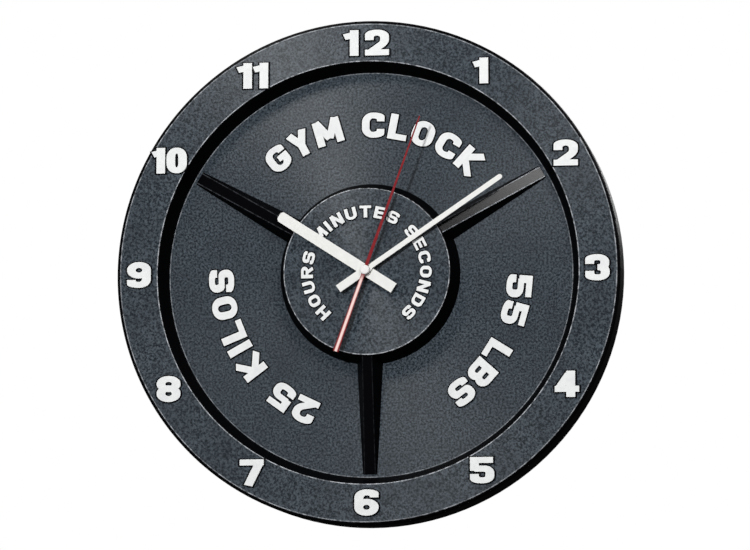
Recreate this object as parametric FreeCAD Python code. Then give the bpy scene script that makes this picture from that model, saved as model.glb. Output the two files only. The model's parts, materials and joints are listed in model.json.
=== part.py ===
"""Wall clock in the shape of a barbell plate, with a battery quartz movement behind its hub.

Millimetres.  The face looks towards -Y, +X is to its right and +Z is up.  The wall is the plane y = 0.
Angles are clock angles: degrees from twelve o'clock, clockwise for someone who looks at the face.
Shapes are modelled around the axis of the hands and moved at the end, so that the origin is the centre
of the hanger keyhole on the wall plane.
"""
import FreeCAD, Part
import math
import os
from FreeCAD import Vector

# ---------------------------------------------------------------- driving dimensions
# plate: depths are measured forward from the wall
PLATE_R = 178.0
RIM_DEPTH = 31.0
RIM_INNER_R = 148.6
DISH_R = 143.5
DISH_DEPTH = 13.5
HUB_DEPTH = 32.0
HUB_TOP_R = 58.9
HUB_BASE_R = 64.0
WALL = 2.5
CORNER_R = 2.6
EDGE_R = 0.8

# sloping ribs between hub and rim
RIB_ANGLES = (60, 180, 300)
RIB_END_R = 141.0
RIB_DROP_AT_HUB = 2.2
RIB_TOP_WIDTH = (7.2, 8.2)
RIB_BASE_WIDTH = (19.2, 10.8)
RIB_END_HEIGHT = 1.0

# lettering: each letter is a black pad with a smaller white face on it
PAD_RAISE = 0.6
FACE_RAISE = 0.5
NUMERAL_R = 162.0
NUMERAL_HEIGHT = 18.3
NUMERAL_PEN = (6.2, 4.2)
NUMERAL_MARGIN = 0.18
PLATE_TEXT_R = 106.0
PLATE_TEXT_HEIGHT = 18.0
PLATE_TEXT_PEN = (5.4, 4.2)
PLATE_TEXT_MARGIN = 0.17
HUB_TEXT_R = 42.0
HUB_TEXT_HEIGHT = 8.4
HUB_TEXT_PEN = (2.5, 1.9)
HUB_TEXT_MARGIN = 0.3
NARROW = {"1": 0.6, "I": 0.33, " ": 0.5, "M": 1.22, "K": 1.05, "E": 0.9, "L": 0.85}

# hanger
HANGER_RISE = 112.0
KEYHOLE_R = 4.5
KEYHOLE_SLOT_R = 2.1
KEYHOLE_SLOT_RISE = 7.0
HANGER_THICK = 1.5
HANGER_HALF_WIDTH = 22.0
HANGER_SCREW_X = 17.0
HANGER_SCREW_RISE = HANGER_RISE + 2.0
HANGER_SCREW_R = 1.4
HANGER_SCREW_HEAD_R = 2.7
HANGER_BOSS_R = 4.0
HANGER_SCREW_LENGTH = 8.0

# movement case
CASE_SIDE = 58.0
CASE_WALL = 1.5
GASKET = 1.0
CASE_DEPTH = 16.0
COVER_THICK = 1.3
BAY_TOP = -12.4
BAY_WALL = 1.2
BATTERY_R = 7.25
BATTERY_BODY = 49.4
BATTERY_NUB = 1.0
FIT = 0.03
LOOSE = 0.06

# shafts
ARBOR_R = 0.5
CANNON_TUBE_R = 1.75
CANNON_TAIL_R = 1.3
HOUR_TUBE_R = 2.55
BUSH_R = 4.0

# gear train: teeth and modules
PINION = 8
ROTOR_MODULE = 0.25
INTERMEDIATE_TEETH = 48
SECOND_MODULE = 0.3
SECOND_TEETH = 40
THIRD_TEETH = 60
CENTRE_TEETH = 64
MOTION_MODULE = 0.4
CANNON_TEETH = 10
MINUTE_TEETH = 30
HOUR_TEETH = 32
SETTING_TEETH = 12
TOOTH_SHARE = 0.42
ADDENDUM = 0.85
DEDENDUM = 1.2
PRESSURE = math.tan(math.radians(20))

# hands
HOUR_ANGLE, MINUTE_ANGLE, SECOND_ANGLE = 302.9, 55.9, 19.8
HOUR_REACH, HOUR_TAIL, HOUR_WIDTH = 73.0, 23.6, 7.6
MINUTE_REACH, MINUTE_TAIL, MINUTE_TAIL_WIDTH, MINUTE_WIDTH = 116.0, 23.0, 5.7, 3.5
SECOND_REACH, SECOND_TAIL, SECOND_TAIL_WIDTH, SECOND_TIP_WIDTH = 114.5, 60.6, 4.0, 0.9
CAP_R = 3.3

# ---------------------------------------------------------------- levels along Y, front is negative
HUB_INNER = -HUB_DEPTH + WALL
CASE_FRONT = HUB_INNER + GASKET
CASE_FLOOR = CASE_FRONT + CASE_WALL
CASE_BACK = CASE_FRONT + CASE_DEPTH
COVER_FRONT = CASE_BACK - COVER_THICK
MID_PLATE = (-23.6, -22.6)
BRIDGE = (-21.3, -20.5)
BUSH_TIP = -35.6
HOUR_TUBE_TIP = -37.2
CANNON_TIP = -39.2
ARBOR_TIP = -41.2
PIN_SEAT = CASE_FLOOR - 0.9
PIVOT_SEAT = COVER_FRONT + 0.6

HALF_CASE = CASE_SIDE / 2 - CASE_WALL
BATTERY_Z = (BAY_TOP - HALF_CASE) / 2
BATTERY_Y = CASE_FLOOR + BATTERY_R + 0.3
BATTERY_X = -24.7
CONTACT_THICK = 0.4

# posts, plates, bush and nut; a pair of levels is a front and a back
POST_R = 1.5
POST_PLACES = ((-25, -9), (25, -9), (-25, 15.4), (25, 15.4))
BOARD_POST_R = 1.2
BOARD_POST_PLACES = ((4, 22.4), (22, 22.4))
BRIDGE_LEG_R = 1.2
BRIDGE_LEG_PLACES = ((-20, -6), (-20, 9), (-12, -7))
GEAR_ROOM_FLOOR = BAY_TOP + BAY_WALL
PLATE_TOP = 17.4
PLATE_PLAY = 0.1
BUSH_FLANGE_FRONT = CASE_FLOOR - 0.7
BUSH_FLANGE_R = 5.5
WASHER = (-HUB_DEPTH - 0.5, -HUB_DEPTH)
WASHER_R = 6.2
NUT = (WASHER[0] - 2.0, WASHER[0])
NUT_FLATS = 11.0

# coil, stator, board and magnet
BOARD = (-17.6, -16.6)
STATOR = (BRIDGE[1], BRIDGE[1] + 0.8)
STATOR_LEFT, STATOR_RIGHT = -23.2, -3.8
LEG_WIDTH = 3.8
COIL_Z = 22.2
CORE = (STATOR[1], STATOR[1] + 0.8)
CORE_HALF = 1.5
BOBBIN_ENDS = (STATOR_LEFT + LEG_WIDTH + 0.2, STATOR_RIGHT - LEG_WIDTH - 0.2)
CORE_Y = (CORE[0] + CORE[1]) / 2
MAGNET = (-20.4, -18.0)
MAGNET_R = 2.9
ROTOR_ARBOR_R = 0.4
SLEEVE_R = 1.5
BOBBIN_FLANGE = 0.8
BOBBIN_WALL = 0.7

# levels of the gear train
INTERMEDIATE_PINION = (-19.2, -17.9)
INTERMEDIATE_WHEEL = (-17.3, -16.5)
ROTOR_PINION = (-17.6, -16.2)
SECOND_PINION = (-20.9, -19.5)
SECOND_WHEEL = (-18.9, -18.1)
THIRD_PINION = (-22.5, -21.3)
THIRD_WHEEL = (-20.6, -19.8)
CENTRE_WHEEL = (-22.3, -21.5)
CANNON_PINION = (-25.5, -23.9)
MINUTE_PINION = (-26.85, -25.5)
MINUTE_WHEEL = (-25.4, -24.4)
SETTING_PINION = (-25.6, -24.2)
HOUR_WHEEL = (-26.7, -25.7)
CLUTCH_SPRING = (-22.55, -22.35)
HOUR_WASHER = (-26.95, -26.75)
KNOB = (CASE_BACK + 0.3, CASE_BACK + 3.4)
SETTING_PIN_END = -14.0

# levels of the hands
HAND_THICK = 0.5
HOUR_HAND = (HOUR_TUBE_TIP + 0.3, HOUR_TUBE_TIP + 0.3 + HAND_THICK)
MINUTE_HAND = (CANNON_TIP + 0.3, CANNON_TIP + 0.3 + HAND_THICK)
SECOND_HAND = (ARBOR_TIP, ARBOR_TIP + 0.4)


def polar(radius, angle, centre=(0.0, 0.0)):
    """x and z of a point at a clock angle."""
    turn = math.radians(angle)
    return (centre[0] + radius * math.sin(turn), centre[1] + radius * math.cos(turn))


# axes of the train, from the centre distances of the meshing gears
CENTRE = (0.0, 0.0)
INTERMEDIATE_DISTANCE = (PINION + SECOND_TEETH) * SECOND_MODULE / 2
ROTOR_DISTANCE = (PINION + INTERMEDIATE_TEETH) * ROTOR_MODULE / 2
THIRD_DISTANCE = (PINION + THIRD_TEETH) * SECOND_MODULE / 2
CENTRE_MODULE = 2 * THIRD_DISTANCE / (PINION + CENTRE_TEETH)
MINUTE_DISTANCE = (CANNON_TEETH + MINUTE_TEETH) * MOTION_MODULE / 2
SETTING_DISTANCE = (MINUTE_TEETH + SETTING_TEETH) * MOTION_MODULE / 2
INTERMEDIATE_DIR, ROTOR_DIR, THIRD_DIR, MINUTE_DIR, SETTING_DIR = 300, 280, 40, 110, 100
INTERMEDIATE = polar(INTERMEDIATE_DISTANCE, INTERMEDIATE_DIR)
ROTOR = polar(ROTOR_DISTANCE, ROTOR_DIR, INTERMEDIATE)
THIRD = polar(THIRD_DISTANCE, THIRD_DIR)
MINUTE = polar(MINUTE_DISTANCE, MINUTE_DIR)
SETTING = polar(SETTING_DISTANCE, SETTING_DIR, MINUTE)


# ---------------------------------------------------------------- shape helpers
def disc(front, back, radius, centre=CENTRE, bore=0.0):
    """Cylinder along Y between two levels, with a bore if one is given."""
    start = Vector(centre[0], front, centre[1])
    body = Part.makeCylinder(radius, back - front, start, Vector(0, 1, 0))
    if bore:
        body = body.cut(Part.makeCylinder(bore, back - front, start, Vector(0, 1, 0)))
    return body


def block(x, y, z):
    """Box from three (low, high) pairs."""
    return Part.makeBox(x[1] - x[0], y[1] - y[0], z[1] - z[0], Vector(x[0], y[0], z[0]))


def prism(points, front, back):
    """Polygon of (x, z) points, extruded between two levels."""
    corners = [Vector(x, front, z) for x, z in points]
    face = Part.Face(Part.makePolygon(corners + corners[:1]))
    return face.extrude(Vector(0, back - front, 0))


def join(shapes):
    return shapes[0].multiFuse(shapes[1:]).removeSplitter()


def turned(shape, angle):
    """Turn a shape clockwise about the axis of the hands."""
    copy = shape.copy()
    copy.rotate(Vector(0, 0, 0), Vector(0, 1, 0), angle)
    return copy


def revolved(profile):
    """Full turn about Y of an outline of (radius, y) points."""
    corners = [Vector(r, y, 0) for r, y in profile]
    return Part.Face(Part.makePolygon(corners + corners[:1])).revolve(Vector(0, 0, 0), Vector(0, 1, 0), 360)


def round_rims(shape, rims):
    """Fillet the circular edges about the Y axis given as (radius, level, fillet)."""
    for radius, level, fillet in rims:
        edges = [e for e in shape.Edges if isinstance(e.Curve, Part.Circle)
                 and abs(e.Curve.Radius - radius) < 0.01 and abs(e.Curve.Center.y - level) < 0.01]
        shape = shape.makeFillet(fillet, edges)
    return shape


# ---------------------------------------------------------------- gears
def gear(teeth, module, front, back, centre=CENTRE, phase=0.0, bore=0.0):
    """Spur gear with straight flanks and some backlash; phase is the clock angle of a tooth."""
    pitch_r = teeth * module / 2
    half = TOOTH_SHARE * 180 / teeth
    points = []
    for tooth in range(teeth):
        middle = phase + 360 * tooth / teeth
        for radius, side in ((pitch_r - DEDENDUM * module, -1), (pitch_r + ADDENDUM * module, -1),
                             (pitch_r + ADDENDUM * module, 1), (pitch_r - DEDENDUM * module, 1)):
            taper = math.degrees((radius - pitch_r) * PRESSURE / pitch_r)
            points.append(polar(radius, middle + side * (half - taper), centre))
    body = prism(points, front, back)
    return body.cut(disc(front, back, bore, centre)) if bore else body


def mating_phase(teeth, phase, mate_teeth, direction):
    """Phase of a gear that sits in the given direction from one with the given teeth and phase."""
    offset = (direction - phase) * teeth / 360
    return direction + 180 - (0.5 - offset) * 360 / mate_teeth


# ---------------------------------------------------------------- lettering
# A glyph is a list of pen strokes.  Its cell is w pens wide and h pens high, and the pen is one unit.
# A stroke is (closed, corner radius, points); its corners are rounded and its ends are cut square.
BOWL = 1.15
TIGHT = 0.75
SHARP = 0.0


def glyph_strokes(char, w, h):
    """Pen strokes of a heavy block letter or digit."""
    left, right, low, high = 0.5, w - 0.5, 0.5, h - 0.5
    middle, waist = w / 2, h / 2
    stem = (False, SHARP, [(left, 0), (left, h)])
    foot_bar = (False, SHARP, [(0, low), (w, low)])
    top_bar = (False, SHARP, [(0, high), (w, high)])
    ring = (True, BOWL, [(left, low), (left, high), (right, high), (right, low)])
    lower_ring = (True, BOWL, [(left, low), (left, waist + 0.1), (right, waist + 0.1), (right, low)])
    upper_ring = (True, BOWL, [(left, waist), (left, high), (right, high), (right, waist)])
    lower_lobe = (False, TIGHT, [(left, low), (right, low), (right, waist), (left, waist)])
    upper_lobe = (False, TIGHT, [(left, waist), (right, waist), (right, high), (left, high)])
    shapes = {
        "0": [ring],
        "1": [(False, SHARP, [(right, 0), (right, h)]), (False, SHARP, [(0, h - 1.15), (right, h - 0.8)])],
        "2": [(False, BOWL, [(left, h - 1.75), (left, high), (right, high), (right, waist),
                             (left + 0.1, low)]),
              foot_bar],
        "3": [(False, TIGHT, [(left, h - 1.6), (left, high), (right - 0.05, high), (right - 0.05, waist),
                              (middle, waist)]),
              (False, TIGHT, [(middle, waist), (right, waist), (right, low), (left, low), (left, 1.6)])],
        "4": [(False, SHARP, [(right - 0.45, 0), (right - 0.45, h)]), (False, SHARP, [(0, 1.35), (w, 1.35)]),
              (False, SHARP, [(right - 0.6, high), (left - 0.05, 1.35)])],
        "5": [(False, SHARP, [(w - 0.15, high), (left, high), (left, waist - 0.1)]),
              (False, TIGHT, [(left, waist + 0.25), (right, waist + 0.25), (right, low), (left, low),
                              (left, 1.55)])],
        "6": [lower_ring,
              (False, BOWL, [(right, h - 1.35), (right, high), (left, high), (left, waist - 0.6)])],
        "7": [top_bar, (False, SHARP, [(right, high - 0.1), (middle - 0.4, 0)])],
        "8": [lower_ring, upper_ring],
        "9": [(True, BOWL, [(left, waist - 0.1), (left, high), (right, high), (right, waist - 0.1)]),
              (False, BOWL, [(left, 1.35), (left, low), (right, low), (right, waist + 0.6)])],
        "B": [stem, lower_lobe, upper_lobe],
        "C": [(False, BOWL, [(right, 1.5), (right, low), (left, low), (left, high), (right, high),
                             (right, h - 1.5)])],
        "D": [stem, (False, BOWL, [(left, low), (right, low), (right, high), (left, high)])],
        "E": [stem, foot_bar, top_bar, (False, SHARP, [(0, waist), (w - 0.2, waist)])],
        "G": [(False, BOWL, [(right, waist + 0.4), (right, low), (left, low), (left, high), (right, high),
                             (right, h - 1.4)]), (False, SHARP, [(middle, waist - 0.1), (w, waist - 0.1)])],
        "H": [stem, (False, SHARP, [(right, 0), (right, h)]),
              (False, SHARP, [(left, waist), (right, waist)])],
        "I": [stem],
        "K": [stem, (False, SHARP, [(left, waist - 0.2), (right, h)]),
              (False, SHARP, [(left, waist + 0.2), (right, 0)])],
        "L": [stem, foot_bar],
        "M": [stem, (False, SHARP, [(right, 0), (right, h)]), (False, SHARP, [(left, h), (middle, 1.0)]),
              (False, SHARP, [(right, h), (middle, 1.0)])],
        "N": [stem, (False, SHARP, [(right, 0), (right, h)]), (False, SHARP, [(left, h), (right, 0)])],
        "O": [ring],
        "R": [stem, upper_lobe, (False, SHARP, [(middle, waist), (right, 0)])],
        "S": [(False, TIGHT, [(right, h - 1.4), (right, high), (left, high), (left, waist), (middle, waist)]),
              (False, TIGHT, [(middle, waist), (right, waist), (right, low), (left, low), (left, 1.4)])],
        "T": [top_bar, (False, SHARP, [(middle, 0), (middle, h)])],
        "U": [(False, BOWL, [(left, h), (left, low), (right, low), (right, h)])],
        "Y": [(False, SHARP, [(middle, 0), (middle, waist)]),
              (False, SHARP, [(left, h), (middle, waist - 0.3)]),
              (False, SHARP, [(right, h), (middle, waist - 0.3)])],
    }
    return shapes[char]


def lengthened(points, extra):
    """Path whose two ends reach further by extra."""
    first = points[0] + (points[0] - points[1]).normalize() * extra
    last = points[-1] + (points[-1] - points[-2]).normalize() * extra
    return [first] + points[1:-1] + [last]


def side_of(points, shift, closed):
    """Points of a path moved sideways by shift, with mitred corners; positive is to the left."""
    moved = []
    last = len(points) - 1
    for i, point in enumerate(points):
        before = None if i == 0 and not closed else (point - points[i - 1]).normalize()
        after = None if i == last and not closed else (points[(i + 1) % len(points)] - point).normalize()
        before = before or after
        after = after or before
        normal = Vector(-before.y - after.y, before.x + after.x, 0).normalize()
        lean = normal.dot(Vector(-before.y, before.x, 0))
        moved.append(point + normal * (shift / lean))
    return moved


def rounded(points, radius, shift, closed, to_plane):
    """Edges along points, with corners rounded so that the radius is at the path's middle line."""
    kappa = 0.5523
    last = len(points) - 1
    stops = []
    for i, point in enumerate(points):
        if not closed and i in (0, last):
            stops.append((point, point, point))
            continue
        back = points[i - 1] - point
        ahead = points[(i + 1) % len(points)] - point
        inward = shift * back.cross(ahead).z < 0
        reach = (radius - abs(shift) if inward else radius + abs(shift)) if radius else 0.0
        reach = max(0.0, reach) / math.tan(back.getAngle(ahead) / 2)
        before, after = (min(reach, 0.48 * run.Length) for run in (back, ahead))
        stops.append((point + back.normalize() * before, point, point + ahead.normalize() * after))
    edges = []
    for i, (start, corner, end) in enumerate(stops):
        if (end - start).Length > 1e-6:
            curve = Part.BezierCurve()
            curve.setPoles([to_plane(p) for p in (start, start + (corner - start) * kappa,
                                                  end + (corner - end) * kappa, end)])
            edges.append(curve.toShape())
        following = stops[(i + 1) % len(stops)][0]
        if (closed or i < last) and (following - end).Length > 1e-6:
            edges.append(Part.makeLine(to_plane(end), to_plane(following)))
    return edges


def stroke_face(stroke, margin, to_plane):
    """Flat face that a pen one unit wide covers along a stroke, with a margin all round."""
    closed, radius, pairs = stroke
    points = [Vector(u, v, 0) for u, v in pairs]
    if margin and not closed:
        points = lengthened(points, margin)
    half = 0.5 + margin
    left_side, right_side = (rounded(side_of(points, shift, closed), radius, shift, closed, to_plane)
                             for shift in (half, -half))
    if closed:
        wires = [Part.Wire(Part.__sortEdges__(side)) for side in (left_side, right_side)]
        wires.sort(key=lambda wire: -wire.BoundBox.DiagonalLength)
        return Part.Face(wires[0]).cut(Part.Face(wires[1])).Faces[0]
    ends = [side_of(points, shift, False) for shift in (half, -half)]
    caps = [Part.makeLine(to_plane(ends[0][i]), to_plane(ends[1][i])) for i in (0, -1)]
    return Part.Face(Part.Wire(Part.__sortEdges__(left_side + right_side + caps)))


def glyph(char, width, height, pen, ground, margin):
    """Pad on the ground level, or with no margin the white face on that pad, centred on the hands' axis."""
    level, raised = (ground, PAD_RAISE) if margin else (ground - PAD_RAISE, FACE_RAISE)

    def to_plane(point):
        return Vector(point.x * pen[0] - width / 2, level, point.y * pen[1] - height / 2)

    strokes = glyph_strokes(char, width / pen[0], height / pen[1])
    solids = [stroke_face(stroke, margin, to_plane).extrude(Vector(0, -raised, 0)) for stroke in strokes]
    return solids[0] if len(solids) == 1 else join(solids)


def letter_width(char, width, pen):
    return max(pen[0], NARROW.get(char, 1.0) * width)


def numeral(number, width, gap, margin):
    """Upright numeral at its place on the rim, as a list of solids."""
    chars = str(number)
    widths = [letter_width(char, width, NUMERAL_PEN) for char in chars]
    x, z = polar(NUMERAL_R, 30 * number)
    x -= (sum(widths) + gap * (len(chars) - 1)) / 2
    solids = []
    for char, own_width in zip(chars, widths):
        solid = glyph(char, own_width, NUMERAL_HEIGHT, NUMERAL_PEN, -RIM_DEPTH, margin)
        solid.translate(Vector(x + own_width / 2, 0, z))
        solids.append(solid)
        x += own_width + gap
    return join(solids).Solids if len(solids) > 1 else solids


def arc_text(text, middle_angle, radius, height, width, pen, gap, ground, margin):
    """Words around a circle, read clockwise, with the tops of the letters outwards."""
    widths = [letter_width(char, width, pen) for char in text]
    total = sum(widths) + gap * (len(text) - 1)
    solids = []
    along = -total / 2
    for char, own_width in zip(text, widths):
        if char != " ":
            solid = glyph(char, own_width, height, pen, ground, margin)
            solid.translate(Vector(0, 0, radius))
            solids.append(turned(solid, middle_angle + math.degrees((along + own_width / 2) / radius)))
        along += own_width + gap
    return solids


def numerals(margin):
    singles = [solid for hour in range(1, 10) for solid in numeral(hour, 17.0, 0.0, margin)]
    doubles = ((10, 14.6, 1.0), (11, 17.0, 1.4), (12, 17.0, 4.6))
    return singles + [solid for double in doubles for solid in numeral(*double, margin)]


def plate_words(margin):
    words = (("GYM CLOCK", 2.0), ("55 LBS", 119.0), ("25 KILOS", 237.0))
    return [solid for text, angle in words for solid in arc_text(
        text, angle, PLATE_TEXT_R, PLATE_TEXT_HEIGHT, 16.0, PLATE_TEXT_PEN, 3.4, -DISH_DEPTH, margin)]


def hub_words(margin):
    return arc_text("HOURS MINUTES SECONDS", 0.5, HUB_TEXT_R, HUB_TEXT_HEIGHT, 8.2, HUB_TEXT_PEN, 2.3,
                    -HUB_DEPTH, margin)


def hour_numerals():
    return Part.makeCompound(numerals(0))


def plate_lettering():
    return Part.makeCompound(plate_words(0))


def hub_lettering():
    return Part.makeCompound(hub_words(0))


def lettering_pads():
    return Part.makeCompound(
        numerals(NUMERAL_MARGIN) + plate_words(PLATE_TEXT_MARGIN) + hub_words(HUB_TEXT_MARGIN))


# ---------------------------------------------------------------- plate and hanger
def rib(inset):
    """Sloping rib at twelve o'clock; inset makes the smaller core behind it."""
    foot = -DISH_DEPTH + 0.5 + inset * 2
    crest = -(HUB_DEPTH - RIB_DROP_AT_HUB) + inset
    end_crest = -(DISH_DEPTH + RIB_END_HEIGHT) + inset
    sections = []
    for radius, level, top, base in ((HUB_TOP_R - 1.4, crest, RIB_TOP_WIDTH[0], RIB_BASE_WIDTH[0]),
                                     (RIB_END_R, end_crest, RIB_TOP_WIDTH[1], RIB_BASE_WIDTH[1])):
        half_top, half_base = top / 2 - inset, base / 2 - inset
        corners = [Vector(-half_base, foot, radius), Vector(-half_top, level, radius),
                   Vector(half_top, level, radius), Vector(half_base, foot, radius)]
        sections.append(Part.makePolygon(corners + corners[:1]))
    return Part.makeLoft(sections, True, True)


def plate_shell():
    outside = revolved([(0, 0), (0, -HUB_DEPTH), (HUB_TOP_R, -HUB_DEPTH), (HUB_BASE_R, -DISH_DEPTH),
                        (DISH_R, -DISH_DEPTH), (RIM_INNER_R, -RIM_DEPTH), (PLATE_R, -RIM_DEPTH),
                        (PLATE_R, 0)])
    outside = round_rims(outside, [(PLATE_R, -RIM_DEPTH, CORNER_R), (RIM_INNER_R, -RIM_DEPTH, EDGE_R),
                                   (HUB_TOP_R, -HUB_DEPTH, EDGE_R)])
    dish_back = -DISH_DEPTH + WALL
    channel = -RIM_DEPTH + WALL
    hollow = revolved([(0, 0), (0, HUB_INNER), (HUB_TOP_R - WALL, HUB_INNER), (HUB_BASE_R - WALL, dish_back),
                       (DISH_R + WALL, dish_back), (RIM_INNER_R + WALL, channel), (PLATE_R - WALL, channel),
                       (PLATE_R - WALL, 0)])
    cored = [turned(rib(WALL * 0.6), angle) for angle in RIB_ANGLES]
    shell = outside.fuse([turned(rib(0), angle) for angle in RIB_ANGLES])
    shell = shell.cut([hollow, disc(-HUB_DEPTH, HUB_INNER, BUSH_R + 0.2)])
    shell = shell.cut([core.cut(disc(-HUB_DEPTH, 0, HUB_TOP_R)) for core in cored])
    for x in (-HANGER_SCREW_X, HANGER_SCREW_X):
        place = (x, HANGER_SCREW_RISE)
        shell = shell.fuse(disc(dish_back - 0.5, -HANGER_THICK, HANGER_BOSS_R, place))
        shell = shell.cut(disc(-HANGER_SCREW_LENGTH, 0, HANGER_SCREW_R, place))
    return shell.removeSplitter()


def hanger_plate():
    plate = block((-HANGER_HALF_WIDTH, HANGER_HALF_WIDTH), (-HANGER_THICK, 0),
                  (HANGER_RISE - 8, HANGER_RISE + 12))
    entry = disc(-HANGER_THICK, 0, KEYHOLE_R, (0, HANGER_RISE))
    slot_top = HANGER_RISE + KEYHOLE_SLOT_RISE
    slot = block((-KEYHOLE_SLOT_R, KEYHOLE_SLOT_R), (-HANGER_THICK, 0), (HANGER_RISE, slot_top))
    seat = disc(-HANGER_THICK, 0, KEYHOLE_SLOT_R, (0, slot_top))
    sinks = [countersink(x) for x in (-HANGER_SCREW_X, HANGER_SCREW_X)]
    return plate.cut([entry, slot, seat] + sinks)


def countersink(x):
    """Cone and shank that a countersunk screw takes out of the hanger plate."""
    cone_depth = HANGER_THICK - 0.1
    cone = Part.makeCone(HANGER_SCREW_R, HANGER_SCREW_HEAD_R, cone_depth,
                         Vector(x, -cone_depth, HANGER_SCREW_RISE), Vector(0, 1, 0))
    return cone.fuse(disc(-HANGER_SCREW_LENGTH, -cone_depth, HANGER_SCREW_R, (x, HANGER_SCREW_RISE)))


def hanger_screws():
    screws = []
    for x in (-HANGER_SCREW_X, HANGER_SCREW_X):
        slots = [block((x - 1.5, x + 1.5), (-0.7, 0), (HANGER_SCREW_RISE - 0.25, HANGER_SCREW_RISE + 0.25)),
                 block((x - 0.25, x + 0.25), (-0.7, 0), (HANGER_SCREW_RISE - 1.5, HANGER_SCREW_RISE + 1.5))]
        screws.append(countersink(x).cut(slots).removeSplitter())
    return Part.makeCompound(screws)


# ---------------------------------------------------------------- movement housing
def gasket():
    half = CASE_SIDE / 2 - 2
    pad = block((-half, half), (HUB_INNER, CASE_FRONT), (-half, half))
    return pad.cut(disc(HUB_INNER, CASE_FRONT, BUSH_R + 0.3))


def movement_case():
    half = CASE_SIDE / 2
    case = block((-half, half), (CASE_FRONT, CASE_BACK), (-half, half))
    case = case.makeFillet(3.0, [e for e in case.Edges if abs(e.Vertexes[0].Z - e.Vertexes[1].Z) < 0.01
                                 and abs(e.Vertexes[0].X - e.Vertexes[1].X) < 0.01])
    room = block((-HALF_CASE, HALF_CASE), (CASE_FLOOR, CASE_BACK), (GEAR_ROOM_FLOOR, HALF_CASE))
    bay = block((-HALF_CASE, HALF_CASE), (CASE_FLOOR, CASE_BACK), (-HALF_CASE, BAY_TOP))
    finger_notch = block((-9, 9), (BATTERY_Y, CASE_BACK), (-half, -HALF_CASE))
    holes = [disc(CASE_FRONT, CASE_FLOOR, BUSH_R), disc(BUSH_FLANGE_FRONT, CASE_FLOOR, BUSH_FLANGE_R),
             disc(PIN_SEAT, CASE_FLOOR, ARBOR_R + FIT, MINUTE),
             disc(PIN_SEAT, CASE_FLOOR, ARBOR_R + FIT, SETTING)]
    case = case.cut([room, bay, finger_notch] + holes)
    return join([case] + [disc(CASE_FLOOR, MID_PLATE[0], POST_R, place) for place in POST_PLACES])


def threaded_bush():
    """Bush with a rolled thread, shown as closed rings at the thread's pitch."""
    bush = disc(BUSH_TIP, BUSH_FLANGE_FRONT, BUSH_R).fuse(disc(BUSH_FLANGE_FRONT, CASE_FLOOR, BUSH_FLANGE_R))
    bush = bush.cut(disc(BUSH_TIP, CASE_FLOOR, HOUR_TUBE_R + LOOSE))
    pitch, depth = 0.75, 0.3
    grooves = []
    level = BUSH_TIP + 0.2
    while level + pitch / 2 < NUT[0]:
        groove = revolved([(BUSH_R + 0.1, level), (BUSH_R - depth, level + pitch / 4),
                           (BUSH_R + 0.1, level + pitch / 2)])
        grooves.append(groove)
        level += pitch
    return bush.cut(grooves)


def front_washer():
    return disc(*WASHER, WASHER_R, bore=BUSH_R + 0.15)


def hex_nut():
    corners = [polar(NUT_FLATS / math.sqrt(3), 60 * i + 12) for i in range(6)]
    nut = prism(corners, NUT[0], NUT[1])
    nose_r, cone_length = NUT_FLATS / 2 - 0.1, 3.0
    chamfer = Part.makeCone(nose_r, nose_r + cone_length, cone_length, Vector(0, NUT[0], 0), Vector(0, 1, 0))
    return nut.common(chamfer).cut(disc(NUT[0], NUT[1], BUSH_R))


def mid_plate():
    half = HALF_CASE - PLATE_PLAY
    plate = block((-half, half), MID_PLATE, (GEAR_ROOM_FLOOR + PLATE_PLAY, PLATE_TOP))
    return plate.cut([disc(*MID_PLATE, CANNON_TAIL_R + LOOSE), disc(*MID_PLATE, ARBOR_R + FIT, MINUTE),
                      disc(*MID_PLATE, ARBOR_R + FIT, THIRD), disc(*MID_PLATE, SLEEVE_R + LOOSE, SETTING)])


def rotor_bridge():
    """Plate that carries the front pivots of the rotor and the intermediate wheel."""
    plate = block((STATOR_LEFT, -3.6), BRIDGE, (-9, 11))
    legs = [disc(MID_PLATE[1], BRIDGE[0], BRIDGE_LEG_R, place) for place in BRIDGE_LEG_PLACES]
    holes = [disc(*BRIDGE, ARBOR_R + FIT, INTERMEDIATE), disc(*BRIDGE, ROTOR_ARBOR_R + FIT, ROTOR)]
    return join([plate] + legs).cut(holes)


def rear_cover():
    half = HALF_CASE - PLATE_PLAY
    plate = block((-half, half), (COVER_FRONT, CASE_BACK), (GEAR_ROOM_FLOOR + PLATE_PLAY, half))
    posts = [disc(MID_PLATE[1], COVER_FRONT, POST_R, place) for place in POST_PLACES]
    board_posts = [disc(BOARD[1], COVER_FRONT, BOARD_POST_R, place) for place in BOARD_POST_PLACES]
    pivots = [disc(COVER_FRONT, PIVOT_SEAT, radius + FIT, place) for radius, place in (
        (ARBOR_R, CENTRE), (ARBOR_R, INTERMEDIATE), (ARBOR_R, THIRD), (ROTOR_ARBOR_R, ROTOR))]
    cover = join([plate] + posts + board_posts)
    return cover.cut(pivots + [disc(COVER_FRONT, CASE_BACK, SLEEVE_R + LOOSE, SETTING)])


# ---------------------------------------------------------------- battery and contacts
def battery():
    def along(start, length, radius):
        return Part.makeCylinder(radius, length, Vector(start, BATTERY_Y, BATTERY_Z), Vector(1, 0, 0))

    can = along(BATTERY_X, BATTERY_BODY, BATTERY_R)
    rims = [e for e in can.Edges if isinstance(e.Curve, Part.Circle)]
    return can.makeFillet(0.7, rims).fuse(along(BATTERY_X + BATTERY_BODY, BATTERY_NUB, 2.75)).removeSplitter()


def contact_leaf(low_x):
    """Upright leaf against an end wall of the battery bay."""
    return block((low_x, low_x + CONTACT_THICK), (CASE_FLOOR, CASE_BACK - 1.5),
                 (BATTERY_Z - 5, BATTERY_Z + 5))


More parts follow.
